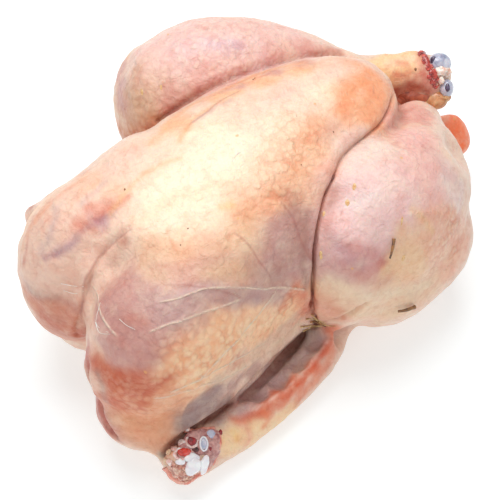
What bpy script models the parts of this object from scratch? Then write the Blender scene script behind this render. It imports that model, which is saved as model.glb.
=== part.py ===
# Whole raw chicken lying on its back: feet off at the hocks, wings cut at the hand, neck off.
# +X runs to the tail, -Y is the bird's right side, +Z is up through the breast.
import bpy
import bmesh
import numpy as np

MM = 0.001

# Driving dimensions, in millimetres
KEEL_HEIGHT = 100         # table to the highest point of the breast
BODY_FRONT = -57          # front of the rib cage, at the neck opening
BODY_LENGTH = 138         # neck opening to the end of the breast skin
BODY_HALF_WIDTH = 50
BODY_ROLL = 6             # degrees that the bird leans over on its right side
SINK = 3                  # how far the back is pressed flat on the table
VOXEL = 1.6               # skin detail before thinning
TRIANGLES = 9000          # what the faceted solid is thinned to
RING_POINTS = 28          # corners of each oval ring of a lobe
SMOOTH_SOFT = 90          # rounds of smoothing where skin bridges two masses
SMOOTH_ALL = 8            # rounds of smoothing everywhere


def curveThrough(stations, count):
    """Rows of a smooth curve through the given ones, ends included."""
    rows = np.array(stations, float)
    rows = np.vstack([2 * rows[0] - rows[1], rows, 2 * rows[-1] - rows[-2]])
    spans = len(rows) - 3
    found = []
    for at in np.linspace(0, spans, count):
        i = min(int(at), spans - 1)
        t = at - i
        a, b, c, d = rows[i:i + 4]
        found.append(0.5 * (2 * b + (c - a) * t + (2 * a - 5 * b + 4 * c - d) * t**2
                            + (3 * b - a - 3 * c + d) * t**3))
    return np.array(found)


def addLobe(bm, stations, ends=1.0, taper=0.0, square=2.0, roll=0.0, rings=18, upright=False):
    """A mass of flesh as an oval tube with rounded ends.

    Each station is x, y, z, half width, half height. taper narrows the top against the
    bottom, square above 2 fills the corners of the oval, and roll turns it in degrees.
    An upright lobe keeps its rings across the body however its spine rises.
    """
    table = curveThrough(stations, rings)
    spine = table[:, :3]
    wide, tall = np.maximum(table[:, 3:5], 1.5).T
    along = np.gradient(spine * [1, 0, 0] if upright else spine, axis=0)
    along /= np.linalg.norm(along, axis=1)[:, None]
    side = np.cross([0.0, 0.0, 1.0], along)
    side /= np.linalg.norm(side, axis=1)[:, None]
    up = np.cross(along, side)
    lean = np.radians(roll)
    side, up = side * np.cos(lean) + up * np.sin(lean), up * np.cos(lean) - side * np.sin(lean)

    angle = np.linspace(0, 2 * np.pi, RING_POINTS, endpoint=False)
    high = np.sign(np.sin(angle)) * np.abs(np.sin(angle)) ** (2 / square)
    across = np.sign(np.cos(angle)) * np.abs(np.cos(angle)) ** (2 / square)
    across = across * (1 - taper * high)
    caps = np.sin(np.radians([80, 60, 40, 20]))
    places = [(0, -past) for past in caps]
    places += [(i, 0.0) for i in range(rings)]
    places += [(rings - 1, past) for past in caps[::-1]]
    loops = []
    for i, past in places:
        size = np.sqrt(1 - past**2)
        reach = ends * np.sqrt(wide[i] * tall[i]) * past
        ring = (spine[i] + along[i] * reach + np.outer(across * size * wide[i], side[i])
                + np.outer(high * size * tall[i], up[i]))
        loops.append([bm.verts.new(p * MM) for p in ring])
    for low, top in zip(loops, loops[1:]):
        for j in range(RING_POINTS):
            k = (j + 1) % RING_POINTS
            bm.faces.new((low[j], low[k], top[k], top[j]))
    bm.faces.new(loops[0][::-1])
    bm.faces.new(loops[-1])


def addTrunk(bm):
    """Rib cage and breast, from the neck opening to the end of the breast skin."""
    top, half = KEEL_HEIGHT, BODY_HALF_WIDTH
    shape = [
        # part of the length, keel height, underside, half width
        (0.00, 0.92 * top, 40, 0.52 * half),
        (0.10, 0.95 * top, 16, 0.82 * half),
        (0.20, 0.97 * top, -SINK, 0.96 * half),
        (0.36, 0.99 * top, -SINK, 0.99 * half),
        (0.56, 0.99 * top, -SINK, 0.92 * half),
        (0.74, 0.97 * top, -SINK, 0.78 * half),
        (0.87, 0.935 * top, 6, 0.62 * half),
        (0.95, 0.89 * top, 20, 0.45 * half),
        (1.00, 0.84 * top, 34, 0.28 * half),
    ]
    rows = [(BODY_FRONT + part * BODY_LENGTH, 0, (high + low) / 2, wide, (high - low) / 2)
            for part, high, low, wide in shape]
    addLobe(bm, rows, ends=0.35, taper=-0.04, square=2.5, roll=BODY_ROLL, rings=30, upright=True)


def addShoulders(bm):
    """The two full ends of the breast, either side of the neck opening, and what lies under them."""
    addLobe(bm, [(-30, -20, 52, 30, 43), (-61, -22, 45, 30, 43)], square=2.4)
    addLobe(bm, [(-26, 23, 55, 27, 42), (-58, 26, 49, 27, 41)], square=2.4)
    addLobe(bm, [(-40, 22, 26, 22, 24), (-62, 24, 24, 20, 20)])
    addLobe(bm, [(-50, -27, 26, 22, 24), (-78, -25, 22, 21, 22)])


def addUpperArms(bm):
    addLobe(bm, [(-76, -37, 17, 15, 16), (-40, -36, 28, 14, 18), (-8, -40, 32, 9, 12)])
    addLobe(bm, [(-56, 46, 38, 14, 19), (-36, 46, 38, 14, 19), (-2, 46, 32, 9, 12)])


def addRightLeg(bm):
    """Folded beside the body, with the drumstick over the thigh and the hock under the breast."""
    drumstick = [(14, -47, 50, 24, 34), (34, -44, 51, 32, 41), (64, -40, 52, 27, 31),
                 (90, -20, 52, 12, 14)]
    thigh = [(54, -50, 34, 27, 30), (36, -50, 34, 27, 31)]
    addLobe(bm, drumstick, ends=0.8, rings=24)
    addLobe(bm, thigh)


def addLeftLeg(bm):
    """Like the right one, but its bare hock stands clear behind the breast."""
    drumstick = [(16, 67, 55, 26, 32), (30, 59, 55, 32, 37), (45, 49, 55, 32.5, 37),
                 (60, 38, 56, 29, 32), (74, 26, 58, 21, 23), (86, 14, 60, 11.5, 13),
                 (104, 0, 60, 9.5, 10), (115, -9, 57, 10, 11)]
    thigh = [(56, 46, 36, 26, 31), (34, 52, 36, 24, 29)]
    addLobe(bm, drumstick, ends=0.65, rings=34)
    addLobe(bm, thigh)


def addRump(bm):
    """The hips, and the tail that sticks out under the hocks."""
    addLobe(bm, [(50, 0, 28, 40, 30), (82, 0, 32, 27, 26)])
    addLobe(bm, [(92, -8, 24, 17, 14), (118, -19, 22, 11, 8)])


def addWings(bm):
    """The right forearm lies along the body with a web of skin; the left one sticks out."""
    rightForearm = [(10, -50, 20, 9, 10), (-8, -56, 14, 8.5, 10), (-30, -58, 11, 8, 10),
                    (-60, -57, 11, 8, 10), (-88, -51, 12, 9, 11)]
    rightWeb = [(4, -44, 12, 12, 5), (-70, -46, 9, 12, 5)]
    leftForearm = [(0, 62, 20, 9, 10), (-24, 75, 16, 8, 10), (-48, 79, 24, 8, 9)]
    for stations in (rightForearm, rightWeb, leftForearm):
        addLobe(bm, stations, ends=0.3)


def skinOver():
    """Every mass of flesh under one skin, as a closed fine mesh."""
    bm = bmesh.new()
    for add in (addTrunk, addShoulders, addUpperArms, addRightLeg, addLeftLeg, addRump, addWings):
        add(bm)
    mesh = bpy.data.meshes.new("chicken")
    bm.to_mesh(mesh)
    bm.free()
    obj = bpy.data.objects.new("chicken", mesh)
    bpy.context.scene.collection.objects.link(obj)
    skin = obj.modifiers.new("skin", "REMESH")
    skin.mode = "VOXEL"
    skin.voxel_size = VOXEL * MM
    bake(obj)
    return obj


def bake(obj):
    """Replaces the object's mesh by what its modifiers make of it."""
    graph = bpy.context.evaluated_depsgraph_get()
    mesh = bpy.data.meshes.new_from_object(obj.evaluated_get(graph))
    obj.modifiers.clear()
    obj.data = mesh


# Where the skin bridges two masses smoothly: x, y, z, reach
SOFT_PLACES = [
    (-40, 0, 92, 26),
    (-54, -26, 82, 34),
    (-40, -46, 52, 28),
    (-40, 40, 74, 32),
    (-30, -46, 40, 24),
    (-30, 48, 44, 26),
    (-66, -34, 22, 24),
    (24, -62, 46, 20),
    (24, 66, 60, 22),
]


def soften(obj):
    """Rounds every crease a little and the soft places a lot."""
    places = np.array(SOFT_PLACES, float)
    points = np.array([v.co for v in obj.data.vertices]) / MM
    gap = np.linalg.norm(points[:, None] - places[:, :3], axis=2) / places[:, 3]
    weight = np.clip(1.4 * (1 - gap.min(1)), 0, 1)
    group = obj.vertex_groups.new(name="soft")
    for i in np.nonzero(weight)[0]:
        group.add([int(i)], float(weight[i]), "REPLACE")
    for name, times in (("soft", SMOOTH_SOFT), ("", SMOOTH_ALL)):
        smooth = obj.modifiers.new("soften", "SMOOTH")
        smooth.factor = 0.5
        smooth.iterations = times
        smooth.vertex_group = name
    bake(obj)


def thin(obj):
    count = sum(len(face.vertices) - 2 for face in obj.data.polygons)
    less = obj.modifiers.new("thin", "DECIMATE")
    less.ratio = TRIANGLES / count
    less.use_collapse_triangulate = True
    bake(obj)


def pressFlat(obj):
    """Cuts the back off level with the table, as its weight presses it."""
    bm = bmesh.new()
    bm.from_mesh(obj.data)
    everything = bm.verts[:] + bm.edges[:] + bm.faces[:]
    cut = bmesh.ops.bisect_plane(bm, geom=everything, dist=1e-5, plane_co=(0, 0, 0),
                                 plane_no=(0, 0, 1), clear_inner=True)
    rim = [e for e in cut["geom_cut"] if isinstance(e, bmesh.types.BMEdge)]
    bmesh.ops.edgeloop_fill(bm, edges=rim)
    bmesh.ops.triangulate(bm, faces=bm.faces)
    bmesh.ops.recalc_face_normals(bm, faces=bm.faces)
    bm.to_mesh(obj.data)
    bm.free()


def centre(obj):
    """Puts the frame's origin under the middle of the bird, on the table."""
    points = np.array([v.co for v in obj.data.vertices])
    low, high = points.min(axis=0), points.max(axis=0)
    shift = (low + high) / 2
    shift[2] = low[2]
    for v, p in zip(obj.data.vertices, points - shift):
        v.co = p


def skinMaterial():
    mat = bpy.data.materials.new("skin")
    mat.use_nodes = True
    bsdf = mat.node_tree.nodes["Principled BSDF"]
    bsdf.inputs["Base Color"].default_value = (0.80, 0.50, 0.40, 1)
    bsdf.inputs["Roughness"].default_value = 0.4
    bsdf.inputs["Metallic"].default_value = 0.0
    return mat


for old in list(bpy.data.objects):
    bpy.data.objects.remove(old)

chicken = skinOver()
soften(chicken)
thin(chicken)
pressFlat(chicken)
centre(chicken)
chicken.data.materials.append(skinMaterial())
for face in chicken.data.polygons:
    face.use_smooth = True
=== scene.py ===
import math
import random
import bpy
import bmesh
import numpy as np
from mathutils import Vector, Matrix, noise
from mathutils.bvhtree import BVHTree


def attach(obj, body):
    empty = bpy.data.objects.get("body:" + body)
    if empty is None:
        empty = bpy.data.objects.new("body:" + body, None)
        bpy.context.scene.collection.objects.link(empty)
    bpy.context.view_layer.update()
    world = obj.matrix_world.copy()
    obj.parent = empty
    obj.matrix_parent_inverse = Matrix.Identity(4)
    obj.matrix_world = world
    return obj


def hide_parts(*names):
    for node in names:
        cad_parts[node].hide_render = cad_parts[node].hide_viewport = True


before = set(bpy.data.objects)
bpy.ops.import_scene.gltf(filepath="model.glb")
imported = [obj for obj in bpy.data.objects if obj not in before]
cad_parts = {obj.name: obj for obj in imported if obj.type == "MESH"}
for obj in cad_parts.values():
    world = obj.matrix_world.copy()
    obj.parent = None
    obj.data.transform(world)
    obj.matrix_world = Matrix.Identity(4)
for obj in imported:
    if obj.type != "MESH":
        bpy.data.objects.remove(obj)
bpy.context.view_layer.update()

mm = 0.001
upHill = (0.56, 0.56, 0.62)          # leans with the view of the bird's near side
towardsLight = (-0.44, -0.44, 0.79)
random.seed(11)


def linear(hexColour):
    # sRGB hex to the linear colour that nodes want
    parts = [int(hexColour[i:i + 2], 16) / 255 for i in (0, 2, 4)]
    return tuple(c / 12.92 if c <= 0.04045 else ((c + 0.055) / 1.055) ** 2.4 for c in parts) + (1.0,)


def addNode(tree, kind, settings=None, links=None):
    # a node with its settings, and links given as input: (node, output)
    node = tree.nodes.new(kind)
    for key, value in (settings or {}).items():
        if isinstance(key, str) and hasattr(node, key):
            setattr(node, key, value)
        else:
            node.inputs[key].default_value = value
    for key, (source, output) in (links or {}).items():
        tree.links.new(source.outputs[output], node.inputs[key])
    return node


def newMaterial(name, settings):
    # a material with its Principled node set, its tree and its Object coordinates
    mat = bpy.data.materials.new(name)
    mat.use_nodes = True
    tree = mat.node_tree
    surface = tree.nodes["Principled BSDF"]
    for key, value in settings.items():
        surface.inputs[key].default_value = value
    coords = addNode(tree, "ShaderNodeTexCoord")
    return mat, tree, surface, coords


def deselectAll():
    for obj in bpy.context.selected_objects:
        obj.select_set(False)


def makeActive(obj):
    deselectAll()
    obj.select_set(True)
    bpy.context.view_layer.objects.active = obj


def applyModifier(obj, kind, **settings):
    makeActive(obj)
    modifier = obj.modifiers.new(kind.lower(), kind)
    for key, value in settings.items():
        setattr(modifier, key, value)
    bpy.ops.object.modifier_apply(modifier=modifier.name)


def settle(obj, name, material=None):
    # place into the mesh, smooth shading, name, material
    obj.name = name
    obj.data.name = name
    makeActive(obj)
    bpy.ops.object.transform_apply(location=True, rotation=True, scale=True)
    bpy.ops.object.shade_smooth()
    if material:
        obj.data.materials.clear()
        obj.data.materials.append(material)
    return obj


def joined(parts, name, material):
    deselectAll()
    for obj in parts:
        obj.select_set(True)
    bpy.context.view_layer.objects.active = parts[0]
    bpy.ops.object.join()
    return settle(parts[0], name, material)


def readPoints(obj):
    co = np.zeros(len(obj.data.vertices) * 3)
    obj.data.vertices.foreach_get("co", co)
    return co.reshape(-1, 3) / mm


def readNormals(obj):
    no = np.zeros(len(obj.data.vertices) * 3)
    obj.data.vertices.foreach_get("normal", no)
    return no.reshape(-1, 3)


def writePoints(obj, points):
    obj.data.vertices.foreach_set("co", (points * mm).ravel())
    obj.data.update()


def smoothCurve(route, step=1.0):
    # points every step mm along a smooth curve through the route
    rows = np.array(route, float)
    rows = np.vstack([2 * rows[0] - rows[1], rows, 2 * rows[-1] - rows[-2]])
    found = []
    for i in range(len(rows) - 3):
        a, b, c, d = rows[i:i + 4]
        count = max(2, int(np.linalg.norm(c - b) / step))
        for t in np.linspace(0, 1, count, endpoint=False):
            found.append(0.5 * (2 * b + (c - a) * t + (2 * a - 5 * b + 4 * c - d) * t**2
                                + (3 * b - a - 3 * c + d) * t**3))
    found.append(rows[-2])
    return np.array(found)


# ---- camera and studio ----
studio = {
    "azimuth": -45, "elevation": 52, "distance": 780, "seenWidth": 217.2,
    "aim": (-9.5, -7.7, 24.6),
    "floor": "d2d9db", "floorGlow": 0.45, "world": 0.5,
    "soft": {"place": (110, 190, 820), "size": 600, "power": 4.9},
    "fill": {"place": (-620, -420, 560), "size": 600, "power": 1.0},
}


def addCamera():
    a, e = math.radians(studio["azimuth"]), math.radians(studio["elevation"])
    back = Vector((math.sin(a) * math.cos(e), -math.cos(a) * math.cos(e), math.sin(e)))
    data = bpy.data.cameras.new("camera")
    data.sensor_width = 36
    data.lens = 36 * studio["distance"] / studio["seenWidth"]
    data.clip_start = 0.01
    cam = bpy.data.objects.new("camera", data)
    bpy.context.scene.collection.objects.link(cam)
    cam.location = Vector(studio["aim"]) * mm + back * studio["distance"] * mm
    cam.rotation_euler = back.to_track_quat("Z", "Y").to_euler()
    bpy.context.scene.camera = cam


def addStudio():
    world = bpy.data.worlds.new("studio")
    bpy.context.scene.world = world
    world.use_nodes = True
    background = world.node_tree.nodes["Background"]
    background.inputs["Color"].default_value = (1, 1, 1, 1)
    background.inputs["Strength"].default_value = studio["world"]
    for name in ("soft", "fill"):
        values = studio[name]
        data = bpy.data.lights.new(name, "AREA")
        data.energy = values["power"]
        data.size = values["size"] * mm
        lamp = bpy.data.objects.new(name, data)
        bpy.context.scene.collection.objects.link(lamp)
        lamp.location = Vector(values["place"]) * mm
        lamp.rotation_euler = (lamp.location - Vector((0, 0, 0.05))).to_track_quat("Z", "Y").to_euler()
    deselectAll()
    bpy.ops.mesh.primitive_plane_add(size=6, location=(0, 0, 0))
    floor = settle(bpy.context.active_object, "floor")
    mat, tree, surface, coords = newMaterial("paperBackdrop", {"Roughness": 0.9})
    surface.inputs["Base Color"].default_value = linear(studio["floor"])
    surface.inputs["Specular IOR Level"].default_value = 0.1
    surface.inputs["Emission Color"].default_value = (1, 1, 1, 1)      # a lit table, so shadows stay pale
    surface.inputs["Emission Strength"].default_value = studio["floorGlow"]
    floor.data.materials.append(mat)
    bpy.context.scene.view_settings.view_transform = "Standard"


addCamera()
addStudio()
print("camera and studio ready")


# ---- skin: the shape ----
skinShape = {
    "voxel": 1.2,             # mm
    "smoothing": 10,          # takes the facets out
    "foldReach": 34,          # rounds of smoothing that a fold is measured against
    "foldStart": 0.3, "foldFull": 1.4, "foldDepth": 0.7,      # mm
    "easeRounds": 160,
    "lumpSize": 9.0, "lump": 0.45, "rippleSize": 3.6, "ripple": 0.22,      # mm
}

# places smoothed over: x, y, z, reach in mm, strength
skinEases = [(-88, 0, 76, 17, 0.95), (-97, 0, 60, 17, 0.95), (-82, 0, 82, 12, 0.8), (-101, -2, 45, 14, 0.7)]

# places pushed: x, y, z, reach, then the push in mm
skinGrabs = [
    (-110, -25, 45, 22, (-2.6, -0.5, 0)), (-101, 10, 42, 22, (-2.0, -0.5, -0.5)),
    (-90, -2, 72, 13, (-1.0, -0.2, 2.6)), (-97, -3, 58, 13, (-2.6, -0.4, 1.2)), (-100, 0, 42, 12, (-3.0, -0.4, 0)),
    (68, -57, 70, 16, (-2.8, 1.4, -0.6)), (-58, 75, 29, 10, (-0.6, -2.4, -1.6)),
    (-6, 70, 76, 18, (0.8, -1.2, -0.8)), (80, 6, 71, 9, (-0.4, -0.4, -2.0)), (97, -6, 67, 8, (0.6, 0.4, 1.4)),
    (91, -19, 58, 9, (-0.9, -1.2, -1.4)), (106, -25, 29, 12, (0.9, 0.7, 2.6)),
    (101, -17, 64, 8, (-3.4, 1.9, -1.2)), (98, -22, 61, 7, (-2.4, 1.6, -0.6)), (68, -57, 66, 12, (-1.4, 1.4, 0)),
    (-8, -67, 22, 11, (-5.2, 4.2, -0.8)), (-60, 31, 89, 20, (0.3, -1.0, -1.0)),
    (-24, -62, 24, 7, (0, 0, -3.0)), (-34, -63, 22, 7, (0, 0, -3.4)), (-46, -64, 21, 7, (0, 0, -3.4)),
    (-57, -63, 21, 7, (0, 0, -2.6)),
]

# tight folds: route, depth, lip height, lip place, pull together
skinTucks = {
    "legCreaseTop": ([(60, -25, 82), (46, -33, 85), (37, -35, 87), (23, -36, 89), (13, -38, 89), (6, -41, 88)],
                     1.8, 0.9, 4.0, 0.55),
    "legCrease": ([(6, -41, 88), (-4, -45, 85), (-12, -50, 80), (-18, -54, 74), (-20, -56, 68), (-22, -58, 58),
                   (-21, -58, 46)], 3.4, 1.2, 4.0, 0.65),
    "farCrease": ([(-16, 41, 72), (-11, 43, 71), (-3, 39, 75), (4, 34, 80), (15, 30, 83),
                   (26, 25, 84), (38, 22, 83), (50, 19, 81), (60, 16, 78), (70, 11, 74)], 1.8, 0.6, 4.0, 0.4),
    "valley": ([(-71, -4, 91), (-76, -3, 89), (-80, -1, 86), (-85, -1, 82), (-90, -2, 76), (-95, -2, 68),
                (-99, -2, 58), (-101, -2, 48), (-101, -3, 36)], 1.2, 0.4, 3.0, 0.25),
    "flankGap": ([(-17, -55, 26), (-26, -55, 26), (-35, -55, 25), (-47, -56, 25), (-60, -57, 25), (-70, -57, 24),
                  (-80, -58, 25), (-88, -57, 25), (-96, -56, 24), (-101, -55, 21), (-104, -54, 16)],
                 2.6, 1.0, 4.5, 0.3),
    "wingGap": ([(-70, -58, 23), (-76, -58, 23), (-81, -58, 24), (-86, -57, 24), (-90, -56, 24), (-95, -56, 23),
                 (-100, -57, 22)], 2.8, 0.2, 4.0, 0.1),
    "armpit": ([(-22, -58, 50), (-20, -58, 40), (-19, -58, 32), (-17, -57, 25)], 2.4, 0.8, 3.5, 0.4),
    "kneeFold": ([(-19, -57, 31), (-16, -66, 38), (-13, -71, 45), (-8, -74, 50)], 1.3, 0.5, 3.0, 0.3),
    "frontFold": ([(-112, -21, 56), (-112, -23, 42), (-112, -28, 30), (-111, -36, 22)], 1.8, 0.6, 3.2, 0.3),
}

# raised threads and shallow wrinkles: route, half width, height (mm, below 0 is a furrow)
skinLines = {
    "shoulderFold": ([(-78, -40, 86), (-72, -42, 86), (-66, -45, 86), (-53, -51, 81), (-40, -55, 70),
                      (-28, -57, 60)], 1.3, 0.75),
    "lowerFold": ([(-88, -44, 81), (-81, -46, 82), (-74, -48, 82)], 1.0, 0.5),
    "fatThread": ([(-63, -57, 63), (-72, -58, 60), (-82, -58, 56), (-90, -57, 52), (-97, -53, 48)], 1.2, 0.7),
    "backThread": ([(-44, -56, 67), (-52, -57, 63), (-62, -58, 59)], 1.0, 0.4),
    "flankLip": ([(-25, -56, 40), (-41, -56, 35), (-63, -58, 38), (-76, -58, 32), (-87, -56, 28),
                  (-95, -54, 28)], 1.8, 0.8),
    "patchEdge": ([(-93, -54, 33), (-91, -56, 45), (-85, -58, 50), (-76, -59, 47), (-72, -58, 36)], 1.2, 0.8),
    "kneeUpper": ([(-19, -67, 56), (-16, -71, 54), (-11, -74, 54)], 1.2, -0.5),
    "kneeLower": ([(-15, -71, 51), (-8, -76, 46), (3, -78, 40)], 1.2, -0.6),
    "rim": ([(-13, -65, 28), (-19, -66, 24), (-31, -68, 21), (-47, -69, 19), (-60, -66, 20), (-68, -60, 20)],
            2.4, 1.2),
    "hockWrinkleA": ([(66, -27, 72), (71, -24, 67), (73, -30, 67), (69, -38, 72)], 0.9, -0.45),
    "hockWrinkleB": ([(54, -33, 79), (66, -30, 71), (69, -35, 71), (64, -43, 76)], 0.9, -0.4),
    "hockWrinkleC": ([(52, -36, 79), (62, -34, 75), (63, -40, 76)], 0.9, -0.35),
    "roughEdge": ([(19, -73, 81), (27, -75, 77), (36, -77, 69), (47, -78, 56), (52, -78, 47)], 1.2, 0.5),
}


def startSkin():
    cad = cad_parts["chicken"]
    obj = bpy.data.objects.new("birdSkin", cad.data.copy())
    bpy.context.scene.collection.objects.link(obj)
    obj.data.materials.clear()
    makeActive(obj)
    bpy.ops.object.mode_set(mode="EDIT")
    bpy.ops.mesh.select_all(action="SELECT")
    bpy.ops.mesh.remove_doubles(threshold=0.00001)
    bpy.ops.mesh.normals_make_consistent(inside=False)
    bpy.ops.object.mode_set(mode="OBJECT")
    applyModifier(obj, "REMESH", mode="VOXEL", voxel_size=skinShape["voxel"] * mm)
    applyModifier(obj, "SMOOTH", factor=0.5, iterations=skinShape["smoothing"])
    return obj


def averaging(obj):
    # a function that moves values towards the mean of their neighbours
    ends = np.zeros(len(obj.data.edges) * 2, int)
    obj.data.edges.foreach_get("vertices", ends)
    a, b = ends.reshape(-1, 2).T
    count = len(obj.data.vertices)
    degree = np.maximum(np.bincount(a, minlength=count) + np.bincount(b, minlength=count), 1)

    def average(values, rounds):
        values = np.array(values, float)
        for _ in range(rounds):
            columns = values.reshape(count, -1).T
            summed = [np.bincount(a, c[b], count) + np.bincount(b, c[a], count) for c in columns]
            values = (np.array(summed) / degree).T.reshape(values.shape)
        return values
    return average


def nearLine(points, route, reach):
    # distance of each point to the line and the nearest place on it, and inf outside its reach
    line = smoothCurve(route)
    gap = np.full(len(points), np.inf)
    nearest = np.array(points)
    inside = np.all((points > line.min(0) - reach) & (points < line.max(0) + reach), axis=1)
    rows = np.nonzero(inside)[0]
    if len(rows):
        apart = np.sqrt(((points[rows, None] - line[None]) ** 2).sum(2))
        gap[rows] = apart.min(1)
        nearest[rows] = line[apart.argmin(1)]
    return gap, nearest


def nearSpot(points, place, reach):
    # 1 at the place, falling smoothly to 0 at its reach
    gap = np.linalg.norm(points - place, axis=1) / reach
    return np.clip(1 - gap * gap, 0, 1) ** 2


def onSkin(tree, points):
    return np.array([np.array(tree.find_nearest(Vector(p) * mm)[0]) / mm for p in points])


def skinTree(obj):
    return BVHTree.FromObject(obj, bpy.context.evaluated_depsgraph_get())


def sculptSkin(obj):
    points = readPoints(obj)
    average = averaging(obj)
    broad = average(points, skinShape["easeRounds"])
    for x, y, z, reach, strength in skinEases:
        points += (broad - points) * (strength * nearSpot(points, (x, y, z), reach))[:, None]
    for x, y, z, reach, push in skinGrabs:
        points += np.outer(nearSpot(points, (x, y, z), reach), push)
    points[:, 2] = np.maximum(points[:, 2], 0)
    writePoints(obj, points)
    normals = readNormals(obj)
    broad = average(points, skinShape["foldReach"])
    hollowShade = ((broad - points) * normals).sum(1)       # above 0 in a fold
    fold = np.clip((hollowShade - skinShape["foldStart"]) / (skinShape["foldFull"] - skinShape["foldStart"]), 0, 1)
    fold = average(fold, 2) * (points[:, 2] > 1.5)
    points -= normals * (fold * skinShape["foldDepth"])[:, None]
    tree = skinTree(obj)
    tucks = np.zeros(len(points))
    for route, depth, lip, lipPlace, pull in skinTucks.values():
        gap, nearest = nearLine(points, onSkin(tree, smoothCurve(route, 4)), 14)
        aside = points - nearest
        aside -= normals * (aside * normals).sum(1)[:, None]
        reach = np.where(np.isfinite(gap), gap, 99)
        points -= aside * (pull * np.exp(-(reach / (lipPlace * 1.2)) ** 2))[:, None]
        points += normals * (lip * np.exp(-((reach - lipPlace) / 3.0) ** 2) - depth * np.exp(-(reach / 1.35) ** 2))[:, None]
        tucks = np.maximum(tucks, min(depth / 3, 1) * np.exp(-(reach / 1.45) ** 2))
    for route, width, height in skinLines.values():
        gap, nearest = nearLine(points, onSkin(tree, smoothCurve(route, 4)), 4 * width)
        points += normals * (height * np.exp(-(gap / width) ** 2))[:, None]
    lumps = np.array([noise.noise(Vector(p) / skinShape["lumpSize"]) for p in points])
    ripples = np.array([noise.noise(Vector(p) / skinShape["rippleSize"]) for p in points])
    clear = np.clip(points[:, 2] / 4, 0, 1)
    points += normals * (clear * (skinShape["lump"] * lumps + skinShape["ripple"] * ripples))[:, None]
    writePoints(obj, points)
    return np.maximum(fold * 0.8, tucks)


birdSkin = startSkin()
skinFold = sculptSkin(birdSkin)
print("skin shaped:", len(birdSkin.data.polygons), "faces")


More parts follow.
